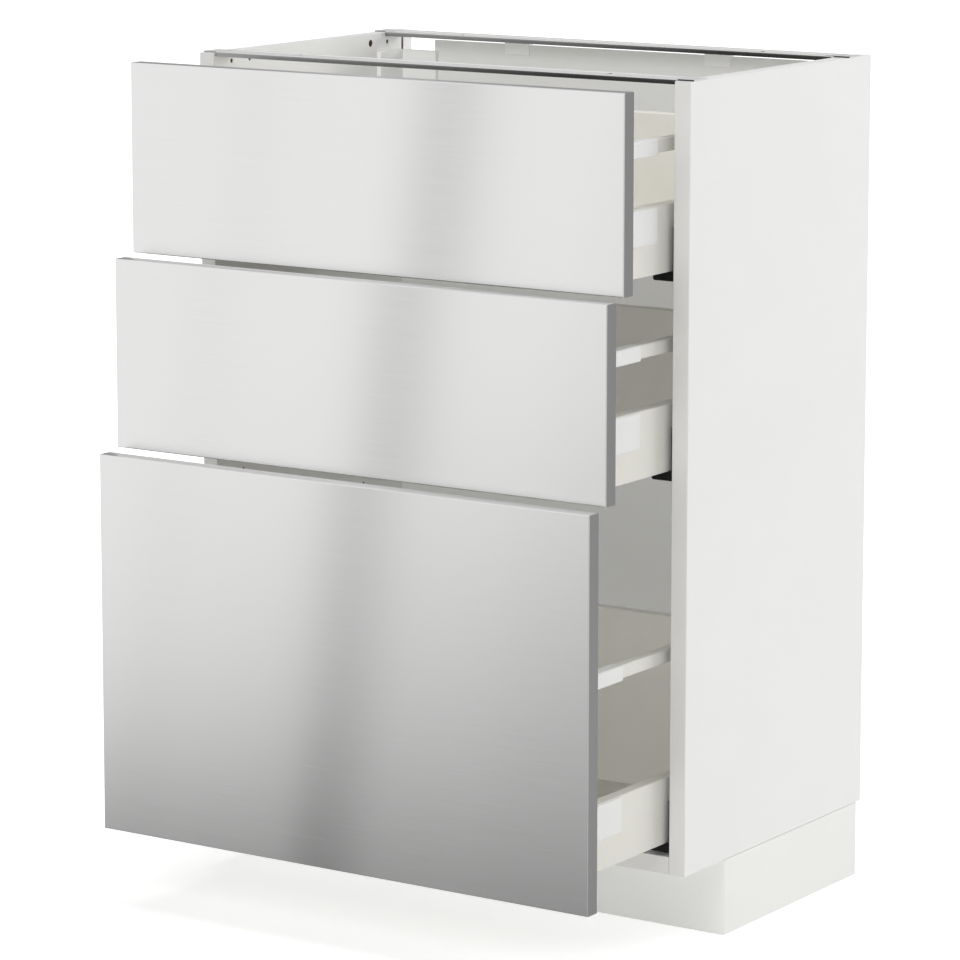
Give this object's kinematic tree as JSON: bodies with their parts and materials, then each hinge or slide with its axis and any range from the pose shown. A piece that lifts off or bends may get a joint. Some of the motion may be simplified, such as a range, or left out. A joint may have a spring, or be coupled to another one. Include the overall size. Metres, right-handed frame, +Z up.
{
  "type": "kitchen drawer base cabinet",
  "caption": "Tall narrow-depth kitchen base cabinet with plain brushed-steel drawer fronts drawn partly open, white carcass, steel top rails and recessed plinth.",
  "frame": {"origin": "on the floor, under the middle of the width and of the whole depth at rest", "axes": "+Z up, +Y from the drawer fronts to the wall, +X to the right of a person facing the fronts"},
  "size_m": [0.6, 0.545, 0.8815],
  "materials": {
    "white_board": "white melamine-faced chipboard with plastic edging",
    "back_board": "thin white-lacquered hardboard",
    "plinth_board": "white melamine-faced chipboard",
    "beech": "turned beech dowel",
    "galvanised": "zinc-coated pressed steel sheet",
    "dark_zinc": "die-cast zinc and thick zinc-coated steel",
    "stainless": "stainless steel sheet with a fine horizontal brush",
    "drawer_steel": "powder-coated steel, warm white, satin",
    "drawer_cap": "moulded plastic in the white of the drawer steel",
    "drawer_board": "white melamine-faced chipboard",
    "front_core": "light honeycomb board core of the fronts, with a pale grey backing foil",
    "black_plastic": "moulded black plastic",
    "grey_plastic": "moulded grey plastic",
    "white_plastic": "moulded white plastic",
    "nylon": "natural nylon"
  },
  "bodies": {
    "carcass": {"side_panel_left": "white_board", "side_panel_right": "white_board", "bottom_panel": "white_board", "back_panel": "back_board", "carcass_dowels": "beech", "top_rail_front": "galvanised", "top_rail_rear": "galvanised", "back_panel_clips": "white_plastic", "wall_brackets": "dark_zinc", "bracket_covers": "white_plastic", "plinth_front": "plinth_board", "plinth_returns": "plinth_board", "plinth_clips": "grey_plastic", "leg_sockets": "black_plastic", "cabinet_runners": "galvanised", "runner_front_guides": "black_plastic", "soft_close_dampers": "grey_plastic"},
    "foot_front_left_body": {"foot_front_left": "black_plastic"},
    "foot_front_right_body": {"foot_front_right": "black_plastic"},
    "foot_rear_left_body": {"foot_rear_left": "black_plastic"},
    "foot_rear_right_body": {"foot_rear_right": "black_plastic"},
    "top_drawer": {"top_slider_runners": "galvanised", "top_front_core": "front_core", "top_front_skin": "stainless", "top_front_brackets": "dark_zinc", "top_side_left": "drawer_steel", "top_side_right": "drawer_steel", "top_cover_caps": "drawer_cap", "top_gallery_rails": "drawer_steel", "top_gallery_holders": "drawer_cap", "top_back_wall": "drawer_steel", "top_floor": "drawer_board"},
    "top_runner_member": {"top_intermediate_runners": "galvanised", "top_runner_glides": "nylon"},
    "middle_drawer": {"middle_slider_runners": "galvanised", "middle_front_core": "front_core", "middle_front_skin": "stainless", "middle_front_brackets": "dark_zinc", "middle_side_left": "drawer_steel", "middle_side_right": "drawer_steel", "middle_cover_caps": "drawer_cap", "middle_gallery_rails": "drawer_steel", "middle_gallery_holders": "drawer_cap", "middle_back_wall": "drawer_steel", "middle_floor": "drawer_board"},
    "middle_runner_member": {"middle_intermediate_runners": "galvanised", "middle_runner_glides": "nylon"},
    "bottom_drawer": {"bottom_slider_runners": "galvanised", "bottom_front_core": "front_core", "bottom_front_skin": "stainless", "bottom_front_brackets": "dark_zinc", "bottom_side_left": "drawer_steel", "bottom_side_right": "drawer_steel", "bottom_cover_caps": "drawer_cap", "bottom_gallery_rails": "drawer_steel", "bottom_gallery_holders": "drawer_cap", "bottom_back_wall": "drawer_steel", "bottom_floor": "drawer_board"},
    "bottom_runner_member": {"bottom_intermediate_runners": "galvanised", "bottom_runner_glides": "nylon"}
  },
  "joints": [
    {"name": "foot_front_left_screw", "type": "slide", "parent": "carcass", "child": "foot_front_left_body", "axis": [0, 0, -1], "range_m": [0, 0.015]},
    {"name": "foot_front_right_screw", "type": "slide", "parent": "carcass", "child": "foot_front_right_body", "axis": [0, 0, -1], "range_m": [0, 0.015]},
    {"name": "foot_rear_left_screw", "type": "slide", "parent": "carcass", "child": "foot_rear_left_body", "axis": [0, 0, -1], "range_m": [0, 0.015]},
    {"name": "foot_rear_right_screw", "type": "slide", "parent": "carcass", "child": "foot_rear_right_body", "axis": [0, 0, -1], "range_m": [0, 0.015]},
    {"name": "top_drawer_slide", "type": "slide", "parent": "carcass", "child": "top_drawer", "axis": [0, -1, 0], "range_m": [-0.1, 0.2]},
    {"name": "top_member_slide", "type": "slide", "parent": "carcass", "child": "top_runner_member", "axis": [0, -1, 0], "range_m": [-0.05, 0.1]},
    {"name": "middle_drawer_slide", "type": "slide", "parent": "carcass", "child": "middle_drawer", "axis": [0, -1, 0], "range_m": [-0.13, 0.17]},
    {"name": "middle_member_slide", "type": "slide", "parent": "carcass", "child": "middle_runner_member", "axis": [0, -1, 0], "range_m": [-0.065, 0.085]},
    {"name": "bottom_drawer_slide", "type": "slide", "parent": "carcass", "child": "bottom_drawer", "axis": [0, -1, 0], "range_m": [-0.16, 0.14]},
    {"name": "bottom_member_slide", "type": "slide", "parent": "carcass", "child": "bottom_runner_member", "axis": [0, -1, 0], "range_m": [-0.08, 0.07]}
  ],
  "couplings": [
    {"joint": "top_member_slide", "follows": "top_drawer_slide", "ratio": 0.5},
    {"joint": "middle_member_slide", "follows": "middle_drawer_slide", "ratio": 0.5},
    {"joint": "bottom_member_slide", "follows": "bottom_drawer_slide", "ratio": 0.5}
  ]
}
